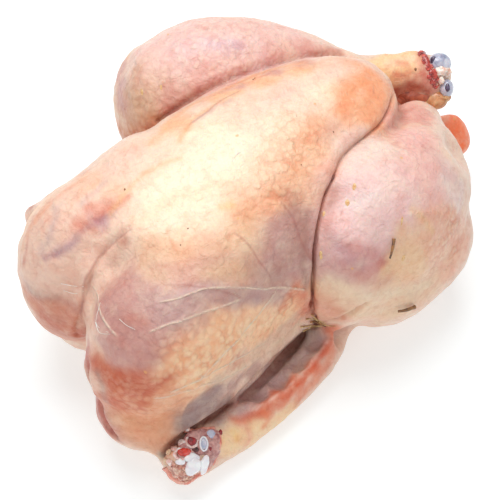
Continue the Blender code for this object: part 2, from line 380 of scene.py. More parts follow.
# ---- skin: its colours, as painted tones ----
# each tone is a colour and the places it covers: x, y, z, reach in mm
baseTone = "efcdb8"
skinTones = {
    "palePink": ("f8d4be", [(-48, 10, 96, 14), (-65, 15, 92, 10), (17, -10, 98, 12), (45, -9, 94, 8),
                            (-4, -2, 99, 12), (-68, 0, 92, 9)]),
    # cream fat, partly painted highlight where the light falls on the top of the breast
    "cream": ("fcefd2", [(-36, -9, 98, 22), (-18, -10, 99, 18), (-49, -12, 96, 14), (-48, -3, 96, 12),
                         (3, -14, 98, 14), (32, -12, 96, 12)]),
    "peach": ("f6bd92", [(4, 17, 95, 5), (20, 12, 95, 6), (36, 7, 94, 6), (-22, 18, 95, 6), (-62, 12, 93, 6),
                         (-66, 26, 91, 6), (-39, -32, 93, 8), (-60, -25, 92, 9)]),
    "tipOrange": ("f7a677", [(48, -19, 92, 14), (35, -22, 94, 10), (58, -16, 89, 7)]),
    "pebbleOrange": ("f7c09c", [(-4, -22, 97, 15), (-21, -29, 95, 13), (12, -21, 97, 12), (-8, -34, 94, 10),
                                (5, -34, 93, 8), (-31, -29, 95, 9)]),
    "tan": ("e4bb9a", [(-43, -41, 91, 10), (-58, -41, 90, 11), (-55, -47, 85, 8), (-74, -23, 89, 8)]),
    "roseBand": ("dba896", [(-61, -33, 91, 9), (-73, -33, 89, 8), (18, -26, 95, 6), (-4, -41, 89, 6)]),
    "thinPurple": ("c59791", [(-32, -48, 83, 12), (-20, -46, 86, 9), (-41, -50, 81, 9), (-33, -54, 73, 10),
                              (-24, -52, 78, 7), (-53, -51, 81, 6)]),
    "lilacGrey": ("c8a4a2", [(-73, -46, 84, 9), (-63, -51, 80, 7), (-84, -42, 84, 9), (-50, -54, 74, 5)]),
    "shoulderPurple": ("cd9a92", [(-94, -20, 81, 9), (-95, -34, 81, 12), (-97, -42, 76, 10), (-104, -32, 73, 9),
                                  (-91, -43, 80, 8)]),
    "yellowFat": ("ffcb9e", [(-83, -54, 70, 14), (-68, -56, 69, 13), (-50, -57, 58, 11), (-94, -50, 70, 9),
                             (-36, -57, 53, 8), (-79, -58, 57, 9), (-93, -55, 58, 8)]),
    "rust": ("cb5f38", [(-107, -41, 59, 9), (-104, -47, 55, 8), (-110, -36, 42, 7), (-103, -44, 67, 5),
                        (-96, -52, 65, 4), (-110, -34, 56, 7)]),
    "lowPeach": ("eda880", [(-104, -46, 36, 9), (-99, -53, 50, 6), (-108, -44, 29, 7), (-103, -50, 24, 6)]),
    "edgePale": ("efc8b2", [(-92, -3, 63, 4), (-104, -18, 69, 4), (-108, -23, 63, 4), (-111, -28, 50, 4)]),
    "frontRed": ("c9766a", [(-112, -24, 34, 5), (-111, -23, 24, 5), (-113, -33, 23, 6), (-109, -21, 57, 4)]),
    "valleyRed": ("cc8a76", [(-90, 0, 70, 3), (-95, 1, 59, 4), (-97, 3, 40, 7),
                             (-75, -4, 89, 3), (-102, 9, 46, 8)]),
    "farShoulder": ("efc8b4", [(-91, 21, 84, 9), (-97, 10, 75, 14), (-87, 4, 80, 8), (-102, 21, 69, 8)]),
    "farShoulderLow": ("d88f74", [(-101, 7, 54, 7), (-96, 7, 31, 6), (-105, 17, 56, 6), (-102, 16, 36, 6)]),
    "streakRed": ("e18f79", [(-69, 10, 91, 3), (-74, 12, 90, 3), (-81, 11, 88, 4), (-65, 8, 92, 3)]),
    "streakPurple": ("c79aa2", [(-93, 14, 81, 3), (-89, 10, 83, 3), (-76, 9, 88, 3)]),
    "greyMuscle": ("9c827f", [(-84, -58, 42, 7), (-89, -56, 37, 7), (-79, -58, 45, 5), (-91, -55, 30, 5),
                              (-76, -58, 28, 5)]),
    "flankPale": ("e6c0a6", [(-52, -57, 42, 6), (-66, -58, 47, 5), (-38, -56, 38, 5), (-29, -56, 41, 4)]),
    "flankLilac": ("cba79e", [(-68, -58, 38, 5), (-55, -57, 32, 4)]),
    "armpitRed": ("dd8a66", [(-31, -57, 63, 5), (-27, -57, 54, 4), (-34, -57, 59, 5)]),
    "webGrey": ("c4a6a4", [(-48, -58, 16, 6), (-59, -60, 18, 5), (-65, -59, 19, 4)]),
    "webBrown": ("b79c90", [(-26, -55, 17, 8), (-38, -58, 17, 6), (-23, -61, 24, 6)]),
    "rimYellow": ("f9cf9f", [(-50, -73, 10, 4), (-56, -73, 9, 5), (-69, -72, 14, 5),
                             (-79, -69, 18, 5)]),
    "rimRed": ("e87a54", [(-22, -67, 23, 3), (-32, -69, 21, 3), (-42, -69, 20, 3), (-51, -68, 20, 4),
                          (-60, -68, 20, 4), (-69, -65, 21, 4), (-16, -64, 26, 4)]),
    "legLilac": ("efc9c6", [(15, -56, 91, 15), (16, -68, 85, 14), (-4, -58, 83, 12), (-1, -67, 78, 12),
                            (-12, -58, 78, 8), (7, -44, 88, 8)]),
    "legCream": ("f4dccf", [(18, -49, 91, 8), (19, -62, 89, 7), (29, -45, 89, 8), (16, -40, 89, 7)]),
    "legPink": ("f0bcb4", [(40, -58, 86, 9), (27, -63, 88, 9), (36, -70, 79, 8), (51, -47, 82, 7)]),
    "hockPink": ("e7aca0", [(70, -22, 65, 6), (68, -33, 71, 6), (49, -33, 83, 5)]),
    "legGrey": ("efd6cf", [(47, -68, 77, 6), (47, -74, 69, 6)]),
    "roughTan": ("f0b99f", [(32, -79, 67, 9), (41, -81, 48, 9), (26, -81, 62, 7), (36, -83, 43, 8)]),
    "legYellow": ("efc197", [(15, -77, 72, 7), (7, -78, 61, 9), (15, -81, 61, 7)]),
    "bruise": ("cb827d", [(-7, -71, 72, 6), (-1, -75, 67, 4), (-11, -66, 75, 5)]),
    "legPurple": ("cf9d9a", [(-15, -66, 69, 7), (-3, -70, 74, 6), (-16, -59, 73, 5)]),
    "legLow": ("eec6a6", [(-20, -63, 59, 6), (7, -79, 40, 10), (-8, -76, 46, 8), (21, -83, 40, 9),
                          (-16, -70, 57, 6)]),
    "kneePink": ("e8ab92", [(-19, -66, 49, 6), (-20, -62, 42, 5), (-16, -69, 44, 5)]),
    "kneeRed": ("c4705c", [(-22, -59, 50, 3), (-23, -58, 45, 3)]),
    "farLegPink": ("f0c6bd", [(18, 50, 92, 16), (38, 34, 89, 14), (1, 57, 87, 14), (52, 24, 83, 10),
                              (18, 32, 87, 12)]),
    # lilac skin, lightest where a painted highlight sits on top of the far leg
    "farLegLilac": ("ecd2d6", [(24, 36, 91, 9), (14, 52, 91, 8), (34, 29, 88, 7)]),
    "farLegBeige": ("dcb193", [(-16, 58, 68, 9), (-10, 52, 80, 9), (-6, 62, 83, 8)]),
    "farLegOrange": ("d9976f", [(-16, 63, 50, 6), (-18, 54, 60, 5), (-15, 47, 67, 5)]),
    "farLegRed": ("d9988a", [(3, 32, 83, 5), (11, 19, 93, 4), (28, 15, 92, 4), (40, 10, 92, 4), (-6, 40, 75, 5)]),
    "shankYellow": ("ffd29c", [(82, -6, 70, 7), (89, -8, 70, 6), (80, -1, 71, 6)]),
    "shankRed": ("cf7058", [(80, -11, 60, 3), (85, -16, 60, 3)]),
    "tailOrange": ("ff7f4e", [(104, -28, 30, 10), (102, -33, 28, 8)]),
}

# brush strokes laid over the tones: colour, half width in mm, strength, route
skinStrokes = {
    "armpitGlow": ("dc7f5c", 2.2, 0.7, [(-35, -57, 62), (-29, -58, 62), (-27, -59, 52), (-26, -57, 42)]),
    # painted shade on the breast beside the leg crease, where the leg overlaps it
    "creaseSideShade": ("8d5c4f", 1.7, 0.5, [(-14, -46, 86), (-20, -50, 82), (-24, -54, 76), (-26, -57, 70), (-26, -58, 61)]),
    "foldShade": ("a98078", 1.6, 0.4, [(-76, -45, 83), (-66, -50, 81), (-54, -54, 76), (-42, -57, 67)]),
    "patchFringe": ("f3cfae", 0.9, 0.7, [(-95, -55, 32), (-93, -56, 42), (-88, -57, 48), (-80, -58, 48), (-73, -59, 45),
        (-67, -59, 40)]),
    "flankStripe": ("efcfb0", 2.2, 0.5, [(-27, -56, 35), (-37, -57, 35), (-50, -57, 37), (-64, -58, 43),
        (-77, -59, 49), (-87, -58, 51), (-96, -55, 48)]),
    "flankShade": ("c09384", 1.7, 0.55, [(-28, -52, 16), (-47, -58, 29), (-57, -58, 32), (-68, -59, 36)]),
    "rustSweep": ("c85f3a", 3.5, 0.75, [(-109, -25, 61), (-109, -34, 61), (-108, -41, 59), (-104, -47, 58),
        (-97, -51, 62)]),
    "rustSweep2": ("d97f56", 3.9, 0.6, [(-111, -38, 51), (-107, -44, 49), (-102, -49, 52), (-96, -53, 56)]),
    "rustLow": ("e39a70", 4.3, 0.55, [(-107, -42, 35), (-103, -47, 32), (-97, -51, 37), (-93, -55, 47)]),
    "frontGrey": ("a98a80", 1.7, 0.7, [(-112, -28, 57), (-113, -31, 51), (-112, -32, 41)]),
    "frontRed": ("b2564b", 1.0, 0.8, [(-111, -21, 50), (-113, -28, 26)]),
    "frontPink": ("cf8478", 2.2, 0.6, [(-111, -24, 29), (-112, -30, 26), (-112, -37, 21)]),
    "frontDark": ("8d4a3f", 0.9, 0.6, [(-112, -25, 27), (-113, -34, 22), (-112, -40, 18)]),
    "lowTan": ("d9a283", 3.5, 0.6, [(-111, -42, 23), (-107, -47, 19), (-102, -52, 21), (-98, -54, 25)]),
    "sideShade": ("a7776a", 1.7, 0.5, [(-103, -52, 17), (-99, -55, 23), (-94, -56, 28)]),
    "mauveTop": ("c58c84", 6.1, 0.55, [(-95, -18, 80), (-99, -29, 78), (-100, -38, 75), (-98, -44, 74)]),
    "lilacTop": ("bb9290", 5.2, 0.5, [(-86, -32, 85), (-83, -42, 84), (-71, -46, 84), (-59, -51, 79)]),
    "lilacSide": ("b9908c", 3.5, 0.5, [(-58, -53, 77), (-48, -55, 72), (-38, -56, 64)]),
    "rimPale": ("eac1ab", 1.7, 0.6, [(-94, -6, 68), (-101, -14, 69), (-106, -21, 67), (-107, -25, 65)]),
    "blushSpot": ("c9806f", 2.2, 0.5, [(-95, -31, 81), (-93, -36, 82)]),
    "streakRed": ("df7e60", 1.6, 0.8, [(-62, 6, 93), (-67, 7, 92), (-71, 9, 90), (-77, 10, 88),
        (-82, 11, 87)]),
    "streakPurple": ("b1838f", 1.6, 0.6, [(-70, 6, 90), (-75, 9, 88), (-81, 10, 87), (-85, 11, 85)]),
    "streakLilac": ("b08894", 1.5, 0.65, [(-86, 9, 84), (-90, 11, 82), (-94, 14, 79), (-98, 17, 76)]),
    "lilacA": ("d0b2ae", 2.2, 0.6, [(-81, 27, 87), (-87, 23, 86), (-93, 20, 82), (-97, 20, 78)]),
    "lilacB": ("cfb0ab", 1.7, 0.5, [(-62, 20, 92), (-68, 19, 91), (-75, 18, 90)]),
    "edgeOrange": ("eaa27c", 1.5, 0.6, [(-101, 30, 65), (-95, 32, 75), (-88, 32, 82), (-79, 31, 86),
        (-66, 30, 87)]),
    "edgeRed": ("c4604a", 1.0, 0.7, [(-95, 31, 76), (-98, 28, 73), (-101, 27, 68)]),
    "farLobeGrey": ("ab8079", 3.5, 0.6, [(-104, 22, 60), (-104, 14, 60), (-101, 8, 60)]),
    "farLobeRed": ("c8654a", 2.6, 0.7, [(-105, 14, 48), (-103, 8, 45), (-101, 2, 46), (-97, 0, 41)]),
    "farLobeRed2": ("d17c5f", 3.0, 0.5, [(-103, 10, 57), (-100, 4, 56), (-96, 0, 51)]),
    "farWingRed": ("a53f38", 1.3, 0.8, [(-60, 75, 25), (-60, 75, 28)]),
    "farWingPale": ("f6dcd2", 1.2, 0.7, [(-58, 74, 30), (-54, 75, 27)]),
    "breastPink": ("f3cfbe", 4.3, 0.5, [(-79, 28, 87), (-69, 27, 89), (-58, 24, 91), (-47, 21, 95)]),
    "breastPeach": ("f5c190", 1.5, 0.6, [(-71, 7, 90), (-58, 9, 94), (-49, 8, 96), (-36, 4, 98)]),
    "sideOrange": ("f2ab74", 1.7, 0.6, [(-30, 11, 97), (-21, 14, 98), (-11, 15, 97), (-2, 14, 97)]),
    "sidePurple": ("c9a0a0", 1.3, 0.5, [(-18, 13, 98), (-8, 13, 97), (1, 12, 97)]),
    "farBand": ("f6b685", 2.6, 0.65, [(-37, 19, 95), (-14, 25, 91), (2, 24, 91), (14, 20, 92),
        (29, 18, 90), (40, 10, 92)]),
    "farBandDark": ("e39b74", 1.1, 0.5, [(-4, 22, 93), (6, 20, 93), (19, 18, 92), (38, 16, 88)]),
    # creamy fat on top of the breast, brightened into a painted highlight where the light falls on it
    "creamFatAndHighlight": ("fff4d8", 5.7, 0.75, [(-60, -5, 94), (-49, -5, 96), (-37, -7, 98), (-24, -9, 99),
        (-13, -9, 99)]),
    "creamEdge": ("fce2c0", 3.9, 0.6, [(-67, -6, 93), (-55, -8, 95), (-44, -14, 96), (-32, -17, 97)]),
    # paler skin along the keel with a painted highlight along its ridge
    "keelPaleHighlight": ("fbe3cb", 2.2, 0.6, [(-14, -12, 99), (-3, -10, 99), (10, -8, 99), (22, -8, 98),
        (35, -8, 96), (47, -7, 94)]),
    "breastRose": ("f4cdbd", 3.9, 0.5, [(5, -2, 99), (19, -1, 98), (33, -3, 97), (46, -5, 94)]),
    "tipWarm": ("f49c6b", 3.5, 0.75, [(29, -23, 95), (39, -19, 94), (49, -16, 92), (59, -15, 89)]),
    "tipEdge": ("efb08e", 1.7, 0.6, [(64, -17, 85), (59, -25, 86), (50, -30, 87), (38, -33, 90)]),
    "tipPink": ("dfa593", 1.7, 0.5, [(33, -35, 90), (22, -35, 92), (13, -37, 92), (6, -40, 91)]),
    "pebbleBand": ("eda77c", 4.8, 0.6, [(18, -21, 96), (7, -26, 96), (-2, -30, 95), (-11, -34, 94),
        (-22, -35, 93), (-33, -33, 93)]),
    "pebbleYellow": ("f6c77d", 1.7, 0.7, [(-40, -25, 95), (-37, -27, 95)]),
    "sideTan": ("dfa88f", 2.6, 0.6, [(6, -40, 91), (-1, -43, 89), (-7, -47, 82), (-12, -50, 78)]),
    "thinSkin": ("b7877a", 4.3, 0.6, [(-15, -38, 92), (-17, -44, 87), (-22, -50, 82), (-30, -52, 78),
        (-39, -52, 77)]),
    "thinSkin2": ("c19484", 3.9, 0.5, [(-47, -47, 86), (-46, -52, 78), (-36, -55, 70)]),
    "midPeach": ("efbf9a", 4.3, 0.5, [(-69, -14, 91), (-65, -27, 91), (-54, -35, 93), (-42, -37, 92)]),
    "midRose": ("d6a08d", 2.6, 0.55, [(-77, -22, 88), (-70, -29, 90), (-61, -37, 90), (-51, -42, 90)]),
    "midStreak": ("e59a76", 1.0, 0.6, [(-61, -16, 93), (-64, -22, 92), (-64, -27, 91)]),
    "farLegBand": ("cf8274", 2.2, 0.7, [(69, 14, 74), (56, 19, 81), (43, 23, 85), (31, 27, 87),
        (19, 30, 88), (9, 33, 85), (0, 38, 80)]),
    "farLegBand2": ("dc9c8c", 3.5, 0.5, [(59, 22, 81), (45, 26, 86), (31, 31, 89), (18, 35, 89),
        (7, 38, 86)]),
    "farLegLilac": ("dcc4d2", 3.0, 0.6, [(19, 46, 92), (23, 40, 91), (29, 36, 90)]),
    "farLegGrey": ("cda283", 3.9, 0.6, [(-12, 63, 73), (-13, 53, 74), (-12, 46, 75)]),
    "farLegOrange": ("d78f6c", 2.6, 0.7, [(-15, 66, 54), (-18, 58, 55), (-17, 49, 64), (-14, 44, 70)]),
    "farLegYellow": ("ebc27c", 0.9, 0.7, [(-11, 56, 78), (-11, 54, 79)]),
    "farLegEdgeTop": ("f6dad2", 2.6, 0.5, [(-6, 67, 79), (7, 67, 85), (21, 63, 88), (33, 54, 90)]),
    "farLegCrease": ("b0604c", 0.9, 0.5, [(-16, 47, 66), (-7, 42, 72), (1, 37, 78), (7, 28, 87), (18, 24, 88)]),
    "legLilacA": ("d59c90", 2.8, 0.65, [(2, -46, 87), (-2, -49, 85), (-9, -53, 82), (-14, -57, 77)]),
    # painted highlight where the light falls brightest on top of the near leg
    "legHighlight": ("f8e2de", 3.9, 0.8, [(3, -55, 86), (6, -57, 87), (10, -60, 89)]),
    "legPinkTop": ("e3a397", 3.5, 0.55, [(53, -31, 83), (62, -34, 73), (65, -42, 74)]),
    "legPinkRight": ("dca9a4", 3.9, 0.5, [(49, -56, 82), (49, -66, 78), (50, -72, 70)]),
    "legPatch": ("ecb098", 3.5, 0.6, [(24, -76, 77), (32, -78, 70), (42, -80, 55), (47, -81, 43)]),
    "legPatch2": ("f0bb9c", 3.5, 0.5, [(19, -78, 71), (27, -82, 60), (37, -83, 42), (33, -84, 38)]),
    "legPatchYellow": ("eec38f", 1.7, 0.6, [(21, -72, 81), (24, -77, 75), (25, -79, 70)]),
    "legYellowA": ("ebc096", 3.5, 0.6, [(13, -73, 78), (9, -75, 72), (5, -76, 65), (1, -77, 60)]),
    "bruiseA": ("c67a78", 2.6, 0.55, [(-10, -62, 77), (-7, -66, 77), (-3, -70, 74), (1, -74, 69)]),
    "bruiseB": ("c4625f", 1.7, 0.65, [(0, -74, 68), (2, -75, 66)]),
    "bruiseLow": ("cf9080", 3.6, 0.55, [(-12, -69, 70), (-9, -73, 66), (-5, -76, 61), (2, -77, 57)]),
    "legPurpleA": ("c4989b", 3.5, 0.6, [(-12, -58, 79), (-11, -65, 74), (-9, -70, 72)]),
    "legCreamLow": ("efd9bb", 3.9, 0.6, [(-19, -64, 65), (-14, -70, 60), (-7, -77, 54), (8, -79, 45),
        (20, -83, 41)]),
    "legCreamLow2": ("e9cba8", 3.0, 0.5, [(-14, -72, 47), (-3, -75, 37), (8, -80, 32)]),
    "kneeTan": ("dd9b7d", 3.0, 0.6, [(-23, -62, 56), (-19, -67, 51), (-16, -71, 48)]),
    "kneeRedA": ("a54c3c", 0.8, 0.8, [(-20, -57, 54), (-24, -62, 53), (-22, -60, 43), (-18, -58, 32)]),
    "shankPeach": ("ffd6b6", 3.0, 0.7, [(83, -4, 70), (91, -8, 69), (97, -12, 69)]),
    "shankPink": ("f09c80", 1.8, 0.4, [(80, -9, 66), (85, -13, 64), (90, -18, 62)]),
    "shankUnder": ("a8462c", 2.4, 0.85, [(80, -11, 61), (84, -13, 62), (89, -17, 61), (91, -21, 59)]),
    "hockBloodSoft": ("cc5442", 3.0, 0.6, [(98, -9, 69), (94, -13, 69), (92, -17, 66), (92, -20, 63), (94, -22, 59)]),
    "shankBlotchA": ("d9674c", 1.6, 0.7, [(82, -8, 67), (85, -11, 66), (87, -12, 67)]),
    "shankBlotchB": ("de7354", 1.4, 0.65, [(86, -5, 70), (88, -9, 69)]),
    "shankBlotchC": ("d0604a", 1.5, 0.65, [(88, -15, 66), (90, -15, 67), (92, -17, 66)]),
    "tailWarm": ("ff7b4a", 5.0, 0.95, [(102, -31, 29), (101, -35, 26)]),
    "tailTop": ("f3c0a8", 1.8, 0.6, [(100, -22, 34), (105, -22, 33)]),
    "rimRedA": ("de6844", 1.6, 0.9, [(-13, -65, 24), (-21, -67, 24), (-25, -68, 23), (-30, -69, 22), (-34, -70, 21),
        (-43, -71, 20), (-51, -71, 19), (-60, -70, 20), (-64, -69, 20), (-68, -67, 21), (-71, -65, 21)]),
    "rimPaleIn": ("ffdccb", 0.8, 0.75, [(-20, -66, 24), (-25, -66, 23), (-30, -67, 22), (-39, -68, 21), (-49, -68, 20),
        (-54, -68, 21), (-63, -66, 21), (-67, -64, 21), (-71, -62, 22)]),
    "rimOut": ("e27a55", 3.2, 0.75, [(-20, -69, 20), (-24, -71, 18), (-29, -72, 17), (-34, -72, 15), (-39, -72, 15), (-44, -73, 14)]),
    "wingCream": ("ffdcb0", 3.9, 0.6, [(-78, -68, 19), (-71, -70, 17), (-64, -72, 14), (-55, -73, 10)]),
    "wingCream2": ("fbd3a8", 3.9, 0.5, [(-81, -71, 13), (-68, -72, 7)]),
    "wingPink": ("ee9d88", 1.3, 0.55, [(-72, -67, 20), (-71, -72, 15), (-74, -72, 11)]),
    "wingOrange": ("ee8457", 1.3, 0.6, [(-61, -68, 20), (-61, -72, 16), (-64, -72, 14)]),
    "wingYellow": ("f7c66a", 1.2, 0.5, [(-77, -67, 20), (-77, -70, 17)]),
    # painted shade: a near-black line in the slit along the flank's lower edge, over the web
    "webSlitShade": ("3f211d", 1.2, 0.7, [(-45, -56, 20), (-59, -57, 21), (-76, -58, 21), (-86, -57, 21)]),
    "webInner": ("b99f9c", 2.4, 0.8, [(-23, -57, 22), (-26, -56, 19), (-30, -56, 17), (-35, -56, 16), (-41, -57, 16),
        (-46, -58, 16), (-51, -58, 16), (-56, -59, 17), (-61, -60, 18)]),
    # painted shade: a near-black band in the deep gap between the flank and the wing
    "wingGapShade": ("2c1110", 1.8, 0.95, [(-70, -58, 22), (-76, -58, 22), (-84, -57, 22), (-92, -56, 22), (-100, -56, 21),
        (-103, -54, 16)]),
    "webGreyA": ("c9abaa", 3.2, 0.8, [(-20, -63, 23), (-28, -62, 21), (-37, -62, 19), (-46, -62, 18), (-56, -62, 18),
        (-63, -63, 21), (-68, -63, 22)]),
    "webOlive": ("9a8974", 2.2, 0.5, [(-23, -57, 20), (-26, -56, 18), (-30, -56, 16)]),
    "webLight": ("c0a29a", 2.0, 0.7, [(-63, -61, 20), (-69, -61, 22), (-76, -61, 22)]),
    "patchGrey": ("a68b8a", 3.0, 0.8, [(-75, -59, 42), (-81, -58, 42), (-86, -57, 39), (-89, -56, 32)]),
    "patchGrey2": ("a58683", 2.2, 0.7, [(-71, -59, 40), (-77, -58, 35), (-84, -58, 31)]),
}

# fine light threads of fat and fine veins under the skin: their routes
skinThreads = {
    "shoulderFold": [(-83, -37, 86), (-79, -40, 87), (-74, -42, 87), (-69, -44, 87), (-63, -47, 85), (-56, -51, 82),
        (-46, -54, 75), (-36, -56, 68), (-29, -58, 62)],
    "lowerFold": [(-92, -41, 80), (-87, -44, 82), (-82, -47, 82), (-75, -48, 81), (-69, -50, 80), (-60, -52, 78)],
    "fatThread": [(-83, -58, 57), (-72, -58, 61), (-59, -57, 63), (-49, -56, 66), (-43, -56, 68)],
    "fatBranch": [(-100, -51, 52), (-92, -56, 53), (-83, -58, 51), (-73, -59, 45), (-61, -58, 40)],
    "rimHair": [(-92, -5, 72), (-97, -13, 74), (-101, -21, 75), (-102, -27, 75)],
    "flankLine": [(-50, -57, 44), (-64, -58, 50), (-78, -58, 55), (-89, -57, 56), (-95, -54, 55)],
}

skinVeins = {
    "breastVein": [(-76, -35, 88), (-72, -39, 88), (-68, -44, 87), (-62, -49, 83), (-58, -52, 79)],
    "sideVein": [(-44, -38, 92), (-43, -43, 89), (-43, -48, 84), (-41, -53, 77)],
    "thighVein": [(-20, -39, 91), (-20, -45, 88), (-22, -51, 81), (-22, -55, 75), (-19, -55, 65)],
    "shoulderVein": [(-72, -5, 91), (-77, -2, 85), (-82, 0, 81), (-87, 0, 78), (-92, 0, 73), (-95, -1, 64), (-97, -1, 52)],
    "farVein": [(-19, 14, 98), (-11, 14, 97), (-1, 15, 96), (6, 14, 96)],
}

# where the fat stands up in small pebbles: x, y, z, reach, strength
pebblePlaces = [
    (-84, -55, 66, 22, 1.0), (-64, -58, 60, 20, 1.0), (-40, -57, 55, 16, 0.9), (-104, -46, 50, 16, 0.45),
    (2, -24, 97, 18, 0.7), (-18, -29, 96, 15, 0.7), (24, 40, 90, 34, 0.45), (44, -45, 84, 18, 0.35),
    (36, -79, 58, 20, 0.8), (-10, 52, 80, 24, 0.35), (-30, 50, 50, 30, 0.5),
]

# the fold tone is the red-brown of the shade painted into folds and tucks
paintSettings = {"wobble": 5.0, "wobbleSize": 16.0, "fineWobble": 2.0, "fineSize": 5.0, "creaseShadeTone": "a5543f",
                 "baseWeight": 0.05}


def wobbled(points, size, seed):
    # smooth random offsets, one vector for each point
    shift = Vector((seed * 7.3, seed * 3.1, seed * 5.7))
    return np.array([noise.noise_vector(Vector(p) / size + shift) for p in points])


def store(obj, name, values):
    # keeps one number or one colour for each point
    if values.ndim == 2:
        layer = obj.data.attributes.new(name, "FLOAT_COLOR", "POINT")
        layer.data.foreach_set("color", values.ravel())
    else:
        layer = obj.data.attributes.new(name, "FLOAT", "POINT")
        layer.data.foreach_set("value", values)


def besideLines(points, normals, tree, routes):
    # mm to the left or right of the nearest line, and a fade that ends well before the next line
    best = np.full(len(points), np.inf)
    aside = np.full(len(points), 5.0)
    for route in routes:
        line = onSkin(tree, smoothCurve(route, 1.5))
        gap, nearest = nearLine(points, line, 5)
        rows = np.nonzero(gap < np.minimum(best, 5))[0]
        along = np.gradient(smoothCurve(line), axis=0)
        place = np.sqrt(((points[rows, None] - smoothCurve(line)[None]) ** 2).sum(2)).argmin(1)
        across = np.cross(along[place], normals[rows])
        across /= np.linalg.norm(across, axis=1)[:, None] + 1e-9
        aside[rows] = ((points[rows] - nearest[rows]) * across).sum(1)
        best[rows] = gap[rows]
    return aside, np.clip(1.6 - best / 2.0, 0, 1)


def paintSkin(obj, fold):
    points = readPoints(obj)
    count = len(points)
    calm = np.clip((34 - points[:, 2]) / 8, 0, 0.85) * (points[:, 1] < -50) * (points[:, 0] < -10)     # the wing's edges are crisp
    where = points + paintSettings["wobble"] * (1 - calm)[:, None] * wobbled(points, paintSettings["wobbleSize"], 1)
    where += paintSettings["fineWobble"] * wobbled(points, paintSettings["fineSize"], 2)
    tone = np.tile(linear(baseTone)[:3], (count, 1)) * paintSettings["baseWeight"]
    weight = np.full(count, paintSettings["baseWeight"])
    for hexColour, places in skinTones.values():
        mirrored = [(x, -y, z, reach) for x, y, z, reach in places if y < -50 and z < 72]     # the far side is as the near one
        for x, y, z, reach in places + mirrored:
            gap = np.linalg.norm(where - (x, y, z), axis=1) / reach
            share = np.exp(-1.6 * gap * gap)
            tone += np.outer(share, linear(hexColour)[:3])
            weight += share
    tone /= weight[:, None]
    tree = skinTree(obj)
    brushed = points + 0.35 * (where - points)
    for hexColour, width, strength, route in skinStrokes.values():
        gap, nearest = nearLine(brushed, onSkin(tree, smoothCurve(route, 4)), 3 * width)
        mask = strength * np.exp(-(gap / width) ** 2)
        tone += (np.array(linear(hexColour)[:3]) - tone) * mask[:, None]
    # painted shade: folds and tucks darkened towards a red-brown tone, where shade falls in them
    creaseShade = np.clip(fold * 1.1, 0, 1) ** 1.5 * 0.65
    tone += (np.array(linear(paintSettings["creaseShadeTone"])[:3]) - tone) * creaseShade[:, None]
    pebble = np.zeros(count)
    for x, y, z, reach, strength in pebblePlaces:
        gap = np.linalg.norm(where - (x, y, z), axis=1) / reach
        pebble = np.maximum(pebble, strength * np.clip(1.4 * (1 - gap), 0, 1))
    store(obj, "tone", np.column_stack([tone, np.ones(count)]))
    store(obj, "pebble", pebble)
    store(obj, "creaseShade", creaseShade)
    for name, routes in (("thread", skinThreads), ("vein", skinVeins)):
        aside, near = besideLines(points, readNormals(obj), tree, routes.values())
        store(obj, name, aside)
        store(obj, name + "Near", near)


paintSkin(birdSkin, skinFold)
print("skin painted")


# ---- skin: the material ----
# raw poultry skin: thin, moist and slightly see-through over fat and muscle, so light goes in and softens
skinFinish = {
    "surface": {"IOR": 1.4, "Subsurface Weight": 0.22, "Subsurface Scale": 0.0022,
                "Subsurface Radius": (1.0, 0.4, 0.25), "Coat Weight": 0.15, "Coat Roughness": 0.3},
    "mottleSize": 9.0, "pebbleSize": 3.1, "poreSize": 1.0, "fibreSize": 2.2, "netSize": 13.0, "fleckSize": 9.0,
    "pinkShift": "f3cfc4", "creamShift": "fbe7cc", "pebbleTop": "ffdcb6", "pebbleGap": "e3a283",
    "net": "dd9c92", "fleck": "e8ae70", "threadTone": "f8dfc8", "veinTone": "a9625a",
    "bumpDepth": 0.0011,
}


def perMetre(size):
    return 1 / (size * mm)      # noise scale for a feature of that many mm


